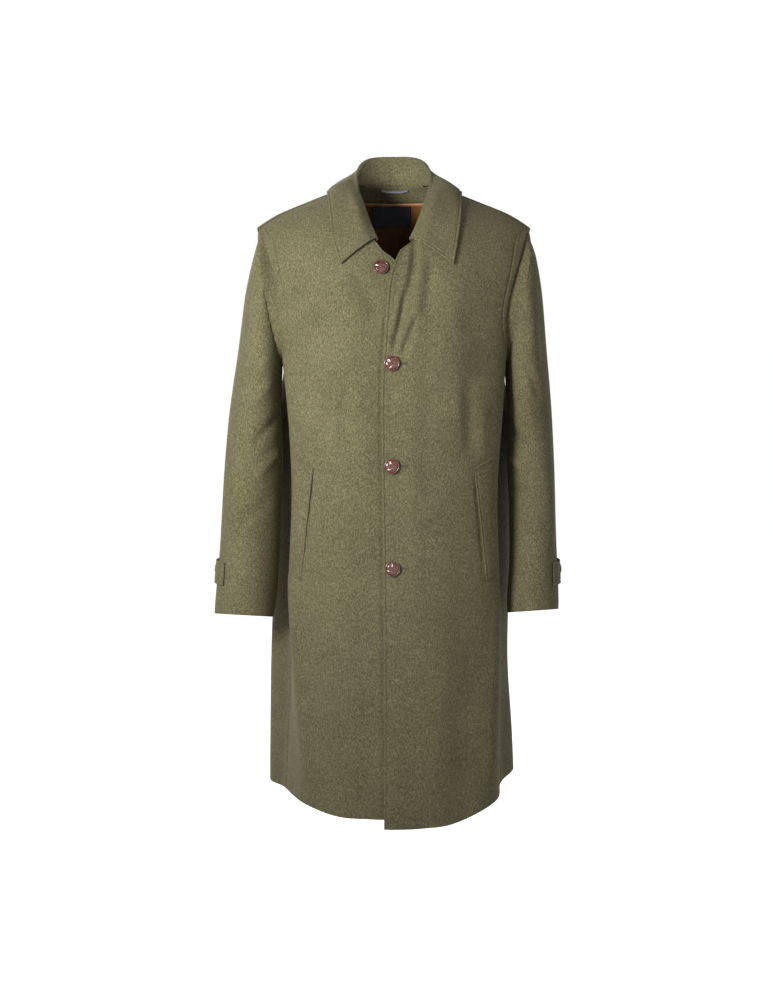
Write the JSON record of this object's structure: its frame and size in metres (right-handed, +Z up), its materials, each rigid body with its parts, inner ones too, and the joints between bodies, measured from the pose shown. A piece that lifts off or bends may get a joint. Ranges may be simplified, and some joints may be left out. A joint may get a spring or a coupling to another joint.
{
  "type": "loden coat",
  "caption": "Men's single-breasted wool loden coat in its worn shape, with a turned-over collar, slanted pocket welts and cuff tabs.",
  "frame": {"origin": "the middle of the neck opening, level with the nape and over the shoulder seams, where the coat is held", "axes": "+Z up along the hanging coat, +X to the wearer's left, and the buttoned front faces -Y"},
  "size_m": [0.617, 0.3732, 1.1547],
  "materials": {
    "loden": "milled wool with a short brushed nap, mottled olive green",
    "button_brown": "glossy dark red-brown, knotted",
    "satin_brown": "smooth satin lining",
    "piping_tan": "satin piping",
    "label_navy": "woven, bare",
    "loop_grey": "satin tape"
  },
  "bodies": {
    "root": {"front_left": "loden", "front_right": "loden", "back": "loden", "sleeve_left": "loden", "sleeve_right": "loden", "collar": "loden", "welt_left": "loden", "welt_right": "loden", "cuff_tab_left": "loden", "cuff_tab_right": "loden", "neck_facing": "loden", "button_front_1": "button_brown", "button_front_2": "button_brown", "button_front_3": "button_brown", "button_front_4": "button_brown", "button_cuff_left": "button_brown", "button_cuff_right": "button_brown", "lining_piping": "piping_tan", "lining_back": "satin_brown", "label": "label_navy", "hanger_loop": "loop_grey"}
  },
  "joints": []
}
